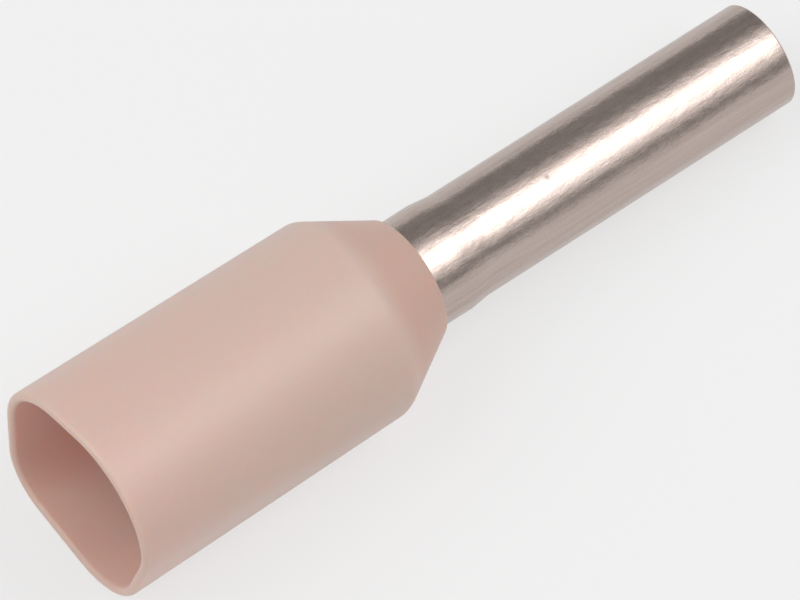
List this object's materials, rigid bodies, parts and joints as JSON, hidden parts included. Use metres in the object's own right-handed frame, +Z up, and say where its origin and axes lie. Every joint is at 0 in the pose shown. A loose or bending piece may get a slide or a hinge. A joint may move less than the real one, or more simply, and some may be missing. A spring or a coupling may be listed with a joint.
{
  "type": "wire ferrule",
  "caption": "Insulated wire ferrule: a tinned copper sleeve, flared at its wire entry, in a thin pale pink plastic collar with a soft open mouth and a conical shoulder.",
  "frame": {"origin": "on the surface that the ferrule lies on, under the middle of its bounding box", "axes": "+X from the collar's mouth to the sleeve's tip, level; +Z up. The ferrule's own axis leans 5.2 degrees down towards the tip, because it rests on the collar's shoulder and on the tip's lower edge"},
  "size_m": [0.015, 0.0038, 0.0043],
  "materials": {
    "tinned_copper": "bright tin with fine drawn lines and a light grain",
    "pink_plastic": "satin, slightly translucent pale pink"
  },
  "bodies": {
    "root": {"sleeve": "tinned_copper", "collar": "pink_plastic"}
  },
  "joints": []
}
